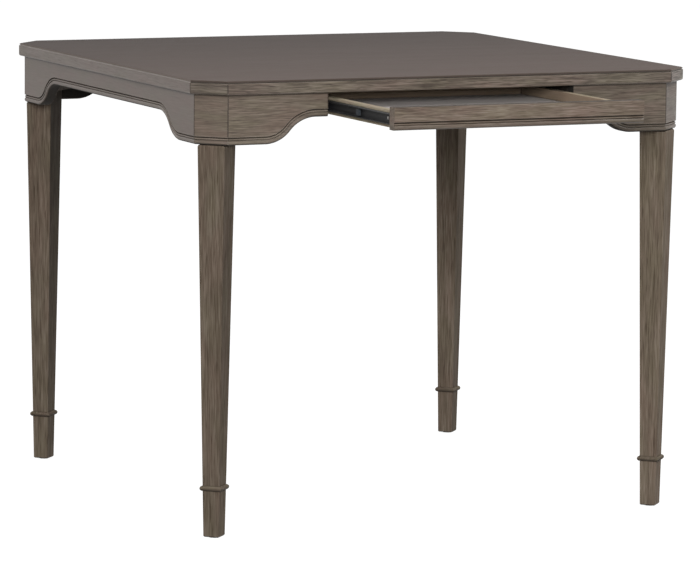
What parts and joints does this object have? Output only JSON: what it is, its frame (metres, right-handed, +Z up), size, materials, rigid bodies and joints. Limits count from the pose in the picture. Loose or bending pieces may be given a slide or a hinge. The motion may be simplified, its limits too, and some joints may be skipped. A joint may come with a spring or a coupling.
{
  "type": "gaming table",
  "caption": "Square wooden gaming table with clipped corners, scrolled beaded aprons, tapered diagonal legs with collars and a shallow front drawer on ball-bearing slides.",
  "frame": {"origin": "on the floor, midway between the four feet, under the centre of the top", "axes": "+Z up; the drawer opens towards -Y; +X to the right of someone who faces the drawer front from outside"},
  "size_m": [0.9144, 1.1631, 0.762],
  "materials": {
    "top_veneer": "smooth satin weathered taupe veneer, fine grain",
    "edge_wood": "weathered grey-brown solid wood, satin",
    "apron_wood": "weathered grey-brown wood with long grain, satin",
    "leg_wood": "weathered grey-brown wood with upright grain, satin",
    "drawer_front_wood": "weathered grey-brown wood with long grain, satin",
    "drawer_side_wood": "pale raw hardwood, lightly sealed",
    "drawer_bottom_board": "grey-stained plywood",
    "inner_hardwood": "unfinished hardwood",
    "zinc_steel": "zinc-plated steel",
    "black_steel": "black-coated rolled steel",
    "grey_plastic": "pale blue-grey moulded plastic",
    "cage_plastic": "dark moulded plastic",
    "ball_steel": "polished steel",
    "nylon": "pale nylon"
  },
  "bodies": {
    "table": {"top_panel": "top_veneer", "edge_band_front": "edge_wood", "edge_band_front_right": "edge_wood", "edge_band_right": "edge_wood", "edge_band_back_right": "edge_wood", "edge_band_back": "edge_wood", "edge_band_back_left": "edge_wood", "edge_band_left": "edge_wood", "edge_band_front_left": "edge_wood", "apron_front_left": "apron_wood", "apron_front_right": "apron_wood", "apron_left": "apron_wood", "apron_right": "apron_wood", "apron_back": "apron_wood", "corner_panel_front_left": "apron_wood", "leg_front_left": "leg_wood", "leg_collar_front_left": "leg_wood", "corner_panel_front_right": "apron_wood", "leg_front_right": "leg_wood", "leg_collar_front_right": "leg_wood", "corner_panel_back_right": "apron_wood", "leg_back_right": "leg_wood", "leg_collar_back_right": "leg_wood", "corner_panel_back_left": "apron_wood", "leg_back_left": "leg_wood", "leg_collar_back_left": "leg_wood", "foot_glides": "nylon", "corner_braces": "inner_hardwood", "top_cleats": "inner_hardwood", "hanger_bolts": "zinc_steel", "flange_nuts": "zinc_steel", "brace_screws": "zinc_steel", "top_screws": "zinc_steel", "runner_rail_left": "inner_hardwood", "slide_cabinet_left": "black_steel", "runner_rail_right": "inner_hardwood", "slide_cabinet_right": "black_steel", "slide_screws_cabinet": "zinc_steel"},
    "drawer": {"drawer_front_screws": "zinc_steel", "drawer_front": "drawer_front_wood", "drawer_box_front": "drawer_side_wood", "drawer_box_back": "drawer_side_wood", "drawer_side_left": "drawer_side_wood", "drawer_side_right": "drawer_side_wood", "drawer_bottom": "drawer_bottom_board", "slide_drawer_left": "black_steel", "slide_drawer_right": "black_steel", "slide_screws_drawer": "zinc_steel"},
    "slide_middle_left": {"slide_middle_left": "black_steel", "slide_bumper_left": "grey_plastic"},
    "outer_cage_left": {"ball_cage_outer_left": "cage_plastic", "balls_outer_left": "ball_steel"},
    "inner_cage_left": {"ball_cage_inner_left": "cage_plastic", "balls_inner_left": "ball_steel"},
    "slide_middle_right": {"slide_middle_right": "black_steel", "slide_bumper_right": "grey_plastic"},
    "outer_cage_right": {"ball_cage_outer_right": "cage_plastic", "balls_outer_right": "ball_steel"},
    "inner_cage_right": {"ball_cage_inner_right": "cage_plastic", "balls_inner_right": "ball_steel"}
  },
  "joints": [
    {"name": "drawer_slide", "type": "slide", "parent": "table", "child": "drawer", "axis": [0, -1, 0], "range_m": [-0.258, 0.142]},
    {"name": "middle_slide_left", "type": "slide", "parent": "table", "child": "slide_middle_left", "axis": [0, -1, 0], "range_m": [-0.129, 0.071]},
    {"name": "outer_cage_slide_left", "type": "slide", "parent": "table", "child": "outer_cage_left", "axis": [0, -1, 0], "range_m": [-0.1935, 0.1065]},
    {"name": "inner_cage_slide_left", "type": "slide", "parent": "table", "child": "inner_cage_left", "axis": [0, -1, 0], "range_m": [-0.0645, 0.0355]},
    {"name": "middle_slide_right", "type": "slide", "parent": "table", "child": "slide_middle_right", "axis": [0, -1, 0], "range_m": [-0.129, 0.071]},
    {"name": "outer_cage_slide_right", "type": "slide", "parent": "table", "child": "outer_cage_right", "axis": [0, -1, 0], "range_m": [-0.1935, 0.1065]},
    {"name": "inner_cage_slide_right", "type": "slide", "parent": "table", "child": "inner_cage_right", "axis": [0, -1, 0], "range_m": [-0.0645, 0.0355]}
  ],
  "couplings": [
    {"joint": "middle_slide_left", "follows": "drawer_slide", "ratio": 0.5},
    {"joint": "outer_cage_slide_left", "follows": "drawer_slide", "ratio": 0.75},
    {"joint": "inner_cage_slide_left", "follows": "drawer_slide", "ratio": 0.25},
    {"joint": "middle_slide_right", "follows": "drawer_slide", "ratio": 0.5},
    {"joint": "outer_cage_slide_right", "follows": "drawer_slide", "ratio": 0.75},
    {"joint": "inner_cage_slide_right", "follows": "drawer_slide", "ratio": 0.25}
  ]
}
